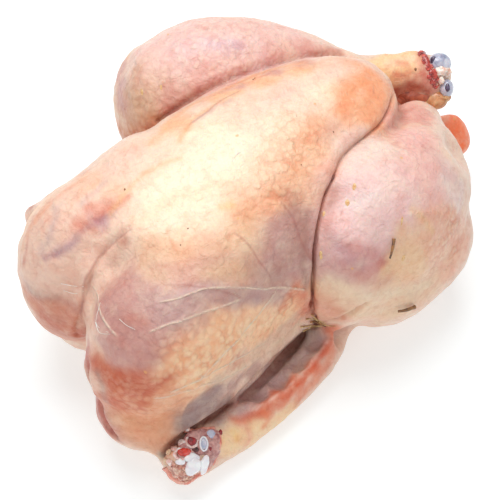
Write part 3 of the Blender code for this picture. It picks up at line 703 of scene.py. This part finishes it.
def rawSkin():
    mat, tree, surface, coords = newMaterial("rawPoultrySkin", skinFinish["surface"])

    def stored(name):
        return addNode(tree, "ShaderNodeAttribute", {"attribute_name": name})

    def ranged(source, output, low, high, start=0.0, end=1.0, smooth=False):
        kind = "SMOOTHSTEP" if smooth else "LINEAR"
        node = addNode(tree, "ShaderNodeMapRange", {"interpolation_type": kind, "From Min": low, "From Max": high,
                       "To Min": start, "To Max": end}, {"Value": (source, output)})
        return node, "Result"

    def calc(operation, first, second, third=None):
        settings, links = {"operation": operation}, {}
        for place, value in enumerate((first, second, third)):
            if isinstance(value, tuple):
                links[place] = value
            elif value is not None:
                settings[place] = value
        return addNode(tree, "ShaderNodeMath", settings, links), "Value"

    def mixed(under, over, mask, blend="MIX"):
        settings = {"data_type": "RGBA", "blend_type": blend, 7: linear(over)}
        return addNode(tree, "ShaderNodeMix", settings, {0: mask, 6: under}), 2

    where = (coords, "Object")
    pebble = (stored("pebble"), "Fac")
    warp = addNode(tree, "ShaderNodeTexNoise", {"Scale": perMetre(7), "Detail": 2.0}, {"Vector": where})
    bend = addNode(tree, "ShaderNodeMix", {"data_type": "VECTOR", "Factor": 0.0035}, {4: where, 5: (warp, "Color")})
    bent = (bend, 1)
    mottle = addNode(tree, "ShaderNodeTexNoise", {"Scale": perMetre(skinFinish["mottleSize"]), "Detail": 5.0,
                     "Roughness": 0.62}, {"Vector": bent})
    fibre = addNode(tree, "ShaderNodeTexNoise", {"Scale": perMetre(skinFinish["fibreSize"]), "Detail": 3.0,
                    "Roughness": 0.6, "Distortion": 0.6}, {"Vector": bent})
    cells = addNode(tree, "ShaderNodeTexVoronoi", {"feature": "SMOOTH_F1", "Smoothness": 0.3,
                    "Scale": perMetre(skinFinish["pebbleSize"]), "Randomness": 0.8}, {"Vector": bent})
    net = addNode(tree, "ShaderNodeTexVoronoi", {"feature": "DISTANCE_TO_EDGE",
                  "Scale": perMetre(skinFinish["netSize"])}, {"Vector": bent})
    flecks = addNode(tree, "ShaderNodeTexVoronoi", {"Scale": perMetre(skinFinish["fleckSize"])}, {"Vector": bent})

    colour = (stored("tone"), "Color")
    colour = mixed(colour, skinFinish["pinkShift"], ranged(mottle, "Fac", 0.5, 0.72, 0, 0.5), "MULTIPLY")
    colour = mixed(colour, skinFinish["creamShift"], ranged(mottle, "Fac", 0.48, 0.3, 0, 0.25))
    colour = mixed(colour, "c89c92", ranged(fibre, "Fac", 0.5, 0.74, 0, 0.2), "MULTIPLY")
    netMask = calc("MULTIPLY", ranged(net, "Distance", 0.03, 0.004, 0, 0.2), ranged(mottle, "Fac", 0.5, 0.65))
    colour = mixed(colour, skinFinish["net"], netMask, "MULTIPLY")
    dome = ranged(cells, "Distance", 0.72, 0.22, 0, 1, True)
    pebbled = calc("MULTIPLY_ADD", calc("MULTIPLY", pebble, ranged(mottle, "Fac", 0.36, 0.6, 0.3, 1)), 0.85, 0.15)
    gapMask = calc("MULTIPLY", calc("SUBTRACT", 1.0, dome), calc("MULTIPLY", pebbled, 0.45))
    colour = mixed(colour, skinFinish["pebbleGap"], gapMask, "MULTIPLY")
    colour = mixed(colour, skinFinish["pebbleTop"], calc("MULTIPLY", dome, calc("MULTIPLY", pebbled, 0.4)))
    pick = addNode(tree, "ShaderNodeSeparateColor", {}, {"Color": (flecks, "Color")})
    fleckMask = calc("MULTIPLY", ranged(flecks, "Distance", 0.1, 0.05, 0, 0.7), calc("GREATER_THAN", (pick, "Red"), 0.8))
    colour = mixed(colour, skinFinish["fleck"], fleckMask)
    veinGap = calc("ABSOLUTE", (stored("vein"), "Fac"), None)
    veinMask = calc("MULTIPLY", ranged(veinGap[0], "Value", 1.0, 0.0, 0, 0.34, True), (stored("veinNear"), "Fac"))
    colour = mixed(colour, skinFinish["veinTone"], veinMask)
    threadGap = calc("ABSOLUTE", (stored("thread"), "Fac"), None)
    threadMask = calc("MULTIPLY", ranged(threadGap[0], "Value", 0.85, 0.05, 0, 0.9, True), (stored("threadNear"), "Fac"))
    threadMask = calc("MULTIPLY", threadMask, ranged(fibre, "Fac", 0.38, 0.56, 0.35, 0.85))
    colour = mixed(colour, skinFinish["threadTone"], threadMask)
    tree.links.new(colour[0].outputs[2], surface.inputs["Base Color"])

    pores = addNode(tree, "ShaderNodeTexNoise", {"Scale": perMetre(skinFinish["poreSize"]), "Detail": 3.0,
                    "Roughness": 0.6}, {"Vector": where})
    ripples = addNode(tree, "ShaderNodeTexNoise", {"Scale": perMetre(3.8), "Detail": 3.0, "Distortion": 0.8},
                      {"Vector": bent})
    height = calc("MULTIPLY", (pores, "Fac"), 0.22)
    height = calc("MULTIPLY_ADD", (ripples, "Fac"), 0.75, height)
    height = calc("MULTIPLY_ADD", calc("MULTIPLY", dome, pebbled), 0.75, height)
    height = calc("MULTIPLY_ADD", threadMask, 0.6, height)
    height = calc("MULTIPLY_ADD", veinMask, 0.25, height)
    bump = addNode(tree, "ShaderNodeBump", {"Strength": 1.0, "Distance": skinFinish["bumpDepth"]}, {"Height": height})
    tree.links.new(bump.outputs["Normal"], surface.inputs["Normal"])
    shine = ranged(fibre, "Fac", 0.3, 0.7, 0.34, 0.5)
    tree.links.new(shine[0].outputs["Result"], surface.inputs["Roughness"])
    return mat


settle(birdSkin, "birdSkin", rawSkin())
print("skin finished")

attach(birdSkin, "root")
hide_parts("chicken")


# ---- small pieces: how they are made ----
birdTree = skinTree(birdSkin)


def skinPlace(place):
    # the nearest point of the skin and the way it faces there
    point, normal, index, gap = birdTree.find_nearest(Vector(place) * mm)
    return point, normal


def onTop(points, lift):
    # the points brought to the skin and lifted off it
    return [tuple(at / mm + normal * lift) for at, normal in map(skinPlace, points)]


def settleAt(obj, place, along, lift, facing):
    # z to the way the skin faces, x along a direction, then moved there
    at, normal = skinPlace(place) if facing is None else (Vector(place) * mm, Vector(facing).normalized())
    x = Vector(along)
    x = (x - normal * x.dot(normal)).normalized()
    turn = Matrix((x, normal.cross(x), normal)).transposed().to_4x4()
    obj.matrix_world = Matrix.Translation(at + normal * lift * mm) @ turn
    bpy.context.view_layer.update()
    bpy.ops.object.transform_apply(location=True, rotation=True, scale=True)


def roughen(obj, grain, strength):
    # uneven as flesh is, the same on each run
    cloud = bpy.data.textures.new("lumps", "CLOUDS")
    cloud.noise_scale = grain * mm
    applyModifier(obj, "DISPLACE", texture=cloud, texture_coords="GLOBAL", mid_level=0.5, strength=strength * mm)


def addLump(place, sizes, along=upHill, lift=0.0, rough=0.25, grain=2.0, facing=None):
    # a soft body: length, width and thickness in mm, and how far its middle stands off the skin
    deselectAll()
    bpy.ops.mesh.primitive_ico_sphere_add(subdivisions=4, radius=0.5)
    obj = bpy.context.active_object
    bpy.ops.object.mode_set(mode="EDIT")
    bpy.ops.mesh.select_all(action="SELECT")
    bpy.ops.transform.resize(value=tuple(size * mm for size in sizes))
    bpy.ops.object.mode_set(mode="OBJECT")
    settleAt(obj, place, along, lift, facing)
    roughen(obj, grain, rough * min(sizes))
    return obj


def addRing(place, sizes, thick, along=upHill, lift=0.0, rough=0.5, facing=None):
    # a soft ring of a length and a width, thick mm through
    deselectAll()
    bpy.ops.mesh.primitive_torus_add(major_segments=40, minor_segments=12, major_radius=1, minor_radius=0.5)
    obj = bpy.context.active_object
    for vertex in obj.data.vertices:
        flat = Vector((vertex.co.x, vertex.co.y, 0)).normalized()
        out = vertex.co - flat
        vertex.co = (Vector((flat.x * sizes[0] / 2, flat.y * sizes[1] / 2, 0)) + out * thick) * mm
    settleAt(obj, place, along, lift, facing)
    roughen(obj, 1.4, rough * thick)
    return obj


def addStrand(points, thick, thin=None, rough=0.0, grain=1.6):
    # a strand through the points, from one radius to another
    route = smoothCurve(points, 0.7)
    thin = thick if thin is None else thin
    deselectAll()
    bpy.ops.curve.primitive_bezier_curve_add()
    obj = bpy.context.active_object
    obj.data.splines.clear()
    line = obj.data.splines.new("POLY")
    line.points.add(len(route) - 1)
    for i, place in enumerate(route):
        line.points[i].co = (*(place * mm), 1)
        line.points[i].radius = 1 + (thin / thick - 1) * i / (len(route) - 1)
    obj.data.bevel_depth = thick * mm
    obj.data.bevel_resolution = 2
    obj.data.use_fill_caps = True
    bpy.ops.object.convert(target="MESH")
    obj = bpy.context.active_object
    if rough:
        roughen(obj, grain, rough * thick)
    return obj


def tissue(name, values):
    # wet flesh in two colours that run into each other, with a fine uneven surface
    mat, tree, surface, coords = newMaterial(name, {
        "Roughness": values["roughness"], "Subsurface Weight": values.get("soft", 0.25),
        "Subsurface Radius": (1.0, 0.4, 0.3), "Subsurface Scale": 0.0015, "Coat Weight": values.get("wet", 0.5),
        "Coat Roughness": 0.12})
    cloudy = addNode(tree, "ShaderNodeTexNoise", {"Scale": perMetre(values["size"]), "Detail": 4.0,
                     "Roughness": 0.6, "Distortion": 0.5}, {"Vector": (coords, "Object")})
    blend = addNode(tree, "ShaderNodeValToRGB", {}, {"Fac": (cloudy, "Fac")})
    blend.color_ramp.elements[0].position = 0.5 - values.get("spread", 0.14)
    blend.color_ramp.elements[1].position = 0.5 + values.get("spread", 0.14)
    blend.color_ramp.elements[0].color = linear(values["first"])
    blend.color_ramp.elements[1].color = linear(values["second"])
    tree.links.new(blend.outputs["Color"], surface.inputs["Base Color"])
    fine = addNode(tree, "ShaderNodeTexNoise", {"Scale": perMetre(values["size"] / 3), "Detail": 3.0},
                   {"Vector": (coords, "Object")})
    bump = addNode(tree, "ShaderNodeBump", {"Strength": 0.7, "Distance": values.get("bump", 0.0004)},
                   {"Height": (fine, "Fac")})
    tree.links.new(bump.outputs["Normal"], surface.inputs["Normal"])
    return mat


def onBird(parts, name, material):
    # the parts as one piece that goes with the bird
    obj = joined(parts, name, material)
    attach(obj, "root")
    return obj


# ---- the hock joint at the end of the far shank ----
hockParts = {
    # blue-grey joint cartilage: smooth and very wet, whiter towards its edges
    "cartilage": {"first": "8f93ad", "second": "e2e2ee", "size": 6.0, "roughness": 0.18, "wet": 0.8, "bump": 0.0002},
    # painted shade: dark patches where the joint's hollows lie in shade
    "hollowShade": {"first": "36203a", "second": "6a5c7c", "size": 2.5, "roughness": 0.25},
    # bloody flesh round the cut: dark crimson with brighter wet lumps
    "flesh": {"first": "7a1a1c", "second": "e0584a", "size": 2.2, "roughness": 0.22, "wet": 0.7},
    # cream and pink tissue between the two knuckles
    "cream": {"first": "e8b8a4", "second": "fff6ec", "size": 2.5, "roughness": 0.3},
    # yellow-brown sinew and dried skin below
    "sinew": {"first": "b46532", "second": "ecb888", "size": 4.5, "roughness": 0.3, "soft": 0.5},
    # the darkest strips of dried sinew
    "dried": {"first": "3c2213", "second": "8a5a2e", "size": 2.4, "roughness": 0.4, "wet": 0.2},
    # dark red meat under the shank
    "under": {"first": "8e3c28", "second": "cf7355", "size": 5.0, "roughness": 0.3},
}


def addHock():
    knuckles = [addLump((102.2, -16.4, 64.9), (9.8, 10.6, 9.6), rough=0.04, grain=4, facing=towardsLight),
                addLump((98.5, -24.6, 58.2), (8.2, 6.4, 6.8), rough=0.04, grain=4, facing=towardsLight)]
    onBird(knuckles, "hockCartilage", tissue("jointCartilage", hockParts["cartilage"]))
    # painted shade: dark lumps on the knuckles where their hollows lie in shade
    shadeLumps = [addLump((99.5, -15.2, 68.3), (3.6, 3.0, 1.3), rough=0.2, facing=towardsLight),
               addLump((97.3, -26.0, 60.6), (3.8, 2.2, 1.6), rough=0.2, facing=towardsLight)]
    onBird(shadeLumps, "hockHollowShade", tissue("jointHollowShade", hockParts["hollowShade"]))
    cut = [(100.6, -8.2, 67.6), (98.2, -11, 69), (96.6, -14.2, 68.6), (95.4, -17.0, 67.4), (95.0, -19.6, 65.6),
           (95.2, -21.8, 63), (95.6, -23.4, 60.8)]
    flesh = [addStrand(onTop(cut, -1.2), 2.2, 1.6, 0.9, 2.6)]
    for place in smoothCurve(cut, 1.1):
        spread = Vector((random.uniform(-3.2, 1.6), random.uniform(-1.4, 1.4), random.uniform(-1, 1)))
        size = random.uniform(1.6, 3.4)
        flesh.append(addLump(tuple(Vector(place) + spread), (size, size * 0.7, size * 0.45), lift=random.uniform(-0.1, 0.3),
                             rough=0.7, grain=1.2, along=(random.uniform(-1, 1), 1, 0.3)))
    onBird(flesh, "hockFlesh", tissue("bloodyFlesh", hockParts["flesh"]))
    cream = [addLump((99.0, -20.2, 65.6), (4.6, 5.4, 3.2), rough=0.5, grain=1.6, facing=towardsLight),
             addLump((101.6, -21.4, 64.0), (4.6, 4.0, 3.6), rough=0.5, grain=1.6, facing=towardsLight),
             addLump((97.0, -22.4, 62.6), (3.4, 2.8, 2.4), rough=0.6, grain=1.4, facing=towardsLight)]
    onBird(cream, "hockTissue", tissue("creamTissue", hockParts["cream"]))
    sinews = [addLump((92.8, -24.2, 54.6), (9.8, 8.4, 5.4), along=(1, -1, 0), rough=0.1, grain=5, facing=towardsLight),
              addLump((89.2, -21.4, 53.4), (8.6, 3.6, 3.2), along=(1, -1, 0), rough=0.15, grain=4, facing=towardsLight),
              addLump((96.4, -26.6, 55.6), (4.4, 4.6, 4.0), along=(1, -1, 0), rough=0.2, grain=3, facing=towardsLight)]
    onBird(sinews, "hockSinew", tissue("yellowBrownSinew", hockParts["sinew"]))
    strips = [addStrand([(80, -9.6, 52.9), (84, -13.6, 52.1), (88, -18.2, 52.1), (91.6, -22.6, 53.4)], 0.8, 0.5, 0.6),
              addStrand([(88.6, -19.4, 55.6), (91.4, -23.4, 55.8), (93.4, -26, 56.4)], 0.5, 0.3, 0.5)]
    onBird(strips, "driedSinew", tissue("driedSinew", hockParts["dried"]))
    under = [addLump((87.8, -15.4, 55.6), (19.0, 9.0, 7.4), along=(1, -0.85, -0.25), rough=0.1, grain=4, facing=towardsLight),
             addLump((82.6, -10.8, 53.4), (14.0, 8.4, 6.4), along=(1, -0.85, -0.25), rough=0.12, grain=4, facing=towardsLight)]
    onBird(under, "shankUnderside", tissue("darkRedMeat", hockParts["under"]))


# ---- the cut end of the near wing ----
wingEndParts = {
    # white knuckle gristle: wet, bluish in its thin parts
    "gristle": {"first": "f0eaf0", "second": "ffffff", "size": 4.0, "roughness": 0.2, "wet": 0.8, "bump": 0.0003, "soft": 0.1},
    # the same where it is thin: blue-grey and see-through
    "thin": {"first": "a9aec8", "second": "dcd8e4", "size": 3.0, "roughness": 0.2, "wet": 0.8, "bump": 0.0002},
    # cut bone and the pale skin of the joint round the marrow
    "bone": {"first": "eab0a6", "second": "fff2ec", "size": 1.6, "roughness": 0.3},
    # marrow: saturated, wet red
    "marrow": {"first": "5c1218", "second": "b8242c", "size": 1.8, "roughness": 0.2, "wet": 0.8},
    # fresh marrow: the brightest red
    "bright": {"first": "b01c18", "second": "f0442c", "size": 2.6, "roughness": 0.18, "wet": 0.8},
    # clotted hollows: nearly black
    "clot": {"first": "2c0a0a", "second": "6a1c1a", "size": 1.6, "roughness": 0.25},
    # loose shreds of flesh and fat below the bone
    "shreds": {"first": "b85f4c", "second": "fac6ae", "size": 1.6, "roughness": 0.25, "wet": 0.7},
    # the sawn muscle: mauve pink with pale strands
    "muscle": {"first": "a0595a", "second": "dca9a0", "size": 2.4, "roughness": 0.28, "wet": 0.6},
    # the edge of the skin round the cut: salmon, thick and shiny
    "rim": {"first": "df7562", "second": "fcb8a2", "size": 2.4, "roughness": 0.3, "wet": 0.6},
    # fat and tissue in the corner
    "corner": {"first": "c98f72", "second": "f4dcb8", "size": 2.0, "roughness": 0.35},
}


def addWingEnd():
    muscle = [addLump((-90.5, -62.5, 22), (10.5, 14.5, 3.4), lift=-0.5, rough=0.35, grain=2.4),
              addLump((-88.5, -66.5, 18.5), (8.5, 8.0, 3.0), lift=-0.5, rough=0.35, grain=2.4),
              addLump((-97, -63, 20.5), (12.0, 12.0, 3.2), lift=-0.7, rough=0.35, grain=2.4),
              addLump((-85, -64, 21), (6.5, 7.5, 2.4), lift=-0.3, rough=0.4, grain=2.0),
              addLump((-90.6, -68.4, 15.6), (8.0, 3.4, 2.2), lift=-0.2, rough=0.4, grain=2.0)]
    onBird(muscle, "wingMuscle", tissue("sawnMuscle", wingEndParts["muscle"]))
    gristle = [addLump((-98.8, -66.0, 17.6), (8.4, 6.6, 4.6), along=(0.9, -0.1, 0.8), lift=0.9, rough=0.3, grain=3.4),
               addLump((-97.6, -63.8, 19.6), (3.8, 7.4, 3.0), lift=0.9, rough=0.4, grain=3),
               addLump((-94.2, -67.8, 15.8), (9.0, 3.8, 3.0), lift=1.0, rough=0.35, grain=3),
               addRing((-90.4, -63.4, 21.4), (5.6, 3.2), 0.8, lift=1.2),
               addLump((-101.8, -62.6, 20.4), (2.6, 4.2, 1.8), lift=0.6, rough=0.4)]
    onBird(gristle, "wingGristle", tissue("whiteGristle", wingEndParts["gristle"]))
    thin = [addLump((-90.4, -63.4, 21.4), (4.6, 2.6, 1.8), lift=1.0, rough=0.1),
            addLump((-85.2, -63.0, 22.2), (4.2, 4.0, 1.4), lift=0.5, rough=0.2)]
    onBird(thin, "wingThinGristle", tissue("blueGristle", wingEndParts["thin"]))
    bone = [addRing((-93.6, -60.2, 23.0), (4.8, 4.6), 1.1, lift=0.7, rough=0.9),
            addRing((-99.8, -60.8, 21.4), (4.4, 6.6), 1.2, lift=0.5, rough=0.9),
            addLump((-96.6, -59.2, 22.4), (3.4, 3.8, 1.8), lift=0.6, rough=0.6, grain=1.4),
            addLump((-100.8, -58.4, 21.6), (2.6, 3.4, 1.6), lift=0.4, rough=0.6, grain=1.4),
            addLump((-103.8, -59.4, 19.4), (2.8, 3.2, 1.8), lift=0.4, rough=0.6, grain=1.4),
            addLump((-91.4, -56.6, 24.6), (2.0, 4.0, 1.6), lift=0.2, rough=0.6, grain=1.4)]
    onBird(bone, "wingBone", tissue("cutBone", wingEndParts["bone"]))
    marrow = [addLump((-93.4, -60.2, 23.0), (4.4, 4.2, 2.6), lift=0.6, rough=0.3),
              addLump((-92.6, -57.8, 24.2), (2.2, 4.0, 1.8), lift=0.5, rough=0.5),
              addLump((-81.2, -64.6, 21.2), (2.4, 1.5, 1.0), lift=0.1, rough=0.4),
              addLump((-89.2, -66.0, 19.6), (2.2, 1.8, 1.2), lift=0.7, rough=0.6)]
    onBird(marrow, "wingMarrow", tissue("redMarrow", wingEndParts["marrow"]))
    onBird([addLump((-99.0, -60.9, 21.9), (3.4, 6.2, 2.6), lift=0.8, rough=0.3)],
           "wingBrightMarrow", tissue("brightMarrow", wingEndParts["bright"]))
    clots = [addLump((-94.2, -63.0, 21.2), (2.0, 3.4, 1.8), lift=0.6, rough=0.5),
             addLump((-104.2, -61.6, 18.6), (1.0, 2.6, 0.8), lift=0.4, rough=0.5)]
    onBird(clots, "wingClots", tissue("darkClot", wingEndParts["clot"]))
    rim = [addStrand(onTop([(-104.5, -57.5, 14), (-105.3, -60, 12), (-104.8, -63, 11), (-103, -66, 10.5), (-99.4, -68, 10.2),
                            (-95.4, -69.2, 11), (-91.6, -69.8, 13)], -0.3), 1.9, 1.3, 1.0, 3.0),
           addStrand(onTop([(-91, -70, 13), (-87.5, -69, 16.5), (-84, -67, 19), (-82, -65, 21)], -0.2), 0.9, 0.6, 0.8),
           addStrand(onTop([(-92.5, -56, 24.6), (-89, -57.4, 24.2), (-85.6, -59.6, 23.2), (-82, -62, 22)], -0.2), 1.0, 0.7, 0.9)]
    onBird(rim, "wingSkinRim", tissue("salmonSkinEdge", wingEndParts["rim"]))
    corner = [addLump((-104.4, -57.6, 18.0), (3.4, 3.6, 1.8), lift=0.1, rough=0.6, grain=1.4),
              addLump((-102.4, -57.6, 20.8), (2.6, 2.8, 1.6), lift=0.3, rough=0.6, grain=1.4)]
    onBird(corner, "wingCorner", tissue("fatAndTissue", wingEndParts["corner"]))
    shreds = [addLump((-104.6, -61.4, 17.4), (7.0, 5.6, 2.0), lift=-0.2, rough=0.5, grain=1.8),
              addLump((-103.8, -64.4, 16.0), (6.4, 6.4, 2.0), lift=-0.2, rough=0.5, grain=1.8),
              addLump((-102.2, -66.6, 13.2), (5.6, 8.0, 2.0), lift=-0.3, rough=0.5, grain=1.8)]
    for _ in range(26):
        place = (-102.5 + random.uniform(-3, 5), -63 + random.uniform(-5, 4.5), 15.5 + random.uniform(-4, 5))
        size = random.uniform(1.6, 3.4)
        shreds.append(addLump(place, (size, size * 0.6, size * 0.5), lift=random.uniform(0.1, 0.7), rough=0.8, grain=1.1,
                              along=(random.uniform(-1, 1), random.uniform(-1, 1), 0.5)))
    onBird(shreds, "wingShreds", tissue("pinkShreds", wingEndParts["shreds"]))


# ---- what plucking left: quills, stubs, dark dots, fine hairs ----
pluckedParts = {
    # quill ends seen through the skin: dull yellow ovals
    "quill": {"first": "e2a468", "second": "f6d09c", "size": 1.2, "roughness": 0.4, "wet": 0.2},
    # feather stubs: brown at the root, grey and dry at the tip
    "stub": {"first": "5c4638", "second": "b07a4a", "size": 2.4, "roughness": 0.5, "wet": 0.1, "soft": 0.0},
    # dots of pigment
    "dot": {"first": "74422a", "second": "a86a40", "size": 0.8, "roughness": 0.45, "wet": 0.2, "soft": 0.0},
    # fine pale hairs
    "hair": {"first": "ead9cc", "second": "fbf4ec", "size": 2.0, "roughness": 0.4, "wet": 0.1, "soft": 0.3},
    # straw-coloured hairs in the armpit
    "straw": {"first": "a87b45", "second": "e8cf94", "size": 2.0, "roughness": 0.45, "wet": 0.1, "soft": 0.1},
}


def addPlucked():
    quills = [((8, -51, 89), (3.4, 2.0)), ((2, -53, 86), (3.2, 2.4)), ((-18, -58, 74), (4.0, 1.6)),
              ((10, -78, 65), (3.2, 2.0)), ((-7, -49, 83), (2.6, 1.6)), ((14, -72, 80), (4.2, 1.0)),
              ((-11, 54, 79), (3.0, 1.8)), ((-5, 48, 82), (2.4, 1.4))]
    onBird([addLump(place, (size[0], size[1] * 0.85, 0.7), lift=-0.12, rough=0.5, grain=1.2) for place, size in quills],
           "quillEnds", tissue("yellowQuill", pluckedParts["quill"]))
    stubs = [addStrand([(8.2, -73.4, 75.4), (6.4, -74.8, 73.2), (3.4, -76.2, 69.4)], 0.75, 0.4, 0.5),
             addStrand([(6.6, -80.8, 34.6), (9.4, -82.6, 34.6), (13.6, -84.2, 34.4)], 0.55, 0.9, 0.5),
             addStrand(onTop([(-22, -57, 33), (-20, -58, 31), (-17, -62, 31)], 0.6), 0.5, 0.4, 0.4)]
    onBird(stubs, "featherStubs", tissue("featherStub", pluckedParts["stub"]))
    dots = [((-60, 10, 93), 1.0), ((18, 16, 94), 1.0), ((20, -28, 94), 0.7), ((-2, -31, 94), 0.6),
            ((-63, -25, 92), 0.6), ((-56, -22, 93), 0.6),
            ((19.5, 16.6, 94), 0.8), ((90, -13, 68), 1.5)]
    onBird([addLump(place, (size, size * 0.75, 0.5), lift=0.0, rough=0.5, grain=0.8) for place, size in dots],
           "pigmentDots", tissue("brownPigment", pluckedParts["dot"]))
    hairs = [[(-98, 8, 69), (-95, 3, 69), (-93, 0, 70)], [(-96, -14, 75), (-102, -18, 71), (-103, -26, 74)],
             [(-102, -17, 71), (-104, -22, 71), (-103, -27, 74)], [(-98, -27, 79), (-98, -31, 79), (-97, -35, 79)],
             [(-99, 6, 66), (-96, 2, 66), (-94, -1, 68)], [(-17, -12, 99), (-20, -12, 99), (-23, -13, 98)]]
    onBird([addStrand(onTop(points, 0.1), 0.16, 0.08) for points in hairs],
           "fineHairs", tissue("paleHair", pluckedParts["hair"]))
    straws = [[(-24, -57, 36), (-20, -58, 33), (-17, -61, 31)], [(-27, -57, 33), (-22, -58, 31), (-18, -60, 30)],
              [(-19, -60, 32), (-17, -62, 32), (-15, -66, 31)], [(-22, -58, 38), (-20, -60, 35), (-18, -63, 33)],
              [(-26, -57, 30), (-21, -58, 28), (-18, -61, 29)]]
    onBird([addStrand(onTop(points, 0.5), 0.3, 0.14) for points in straws],
           "strawHairs", tissue("strawHair", pluckedParts["straw"]))


addHock()
addWingEnd()
addPlucked()
print("hock, wing end and quills added")
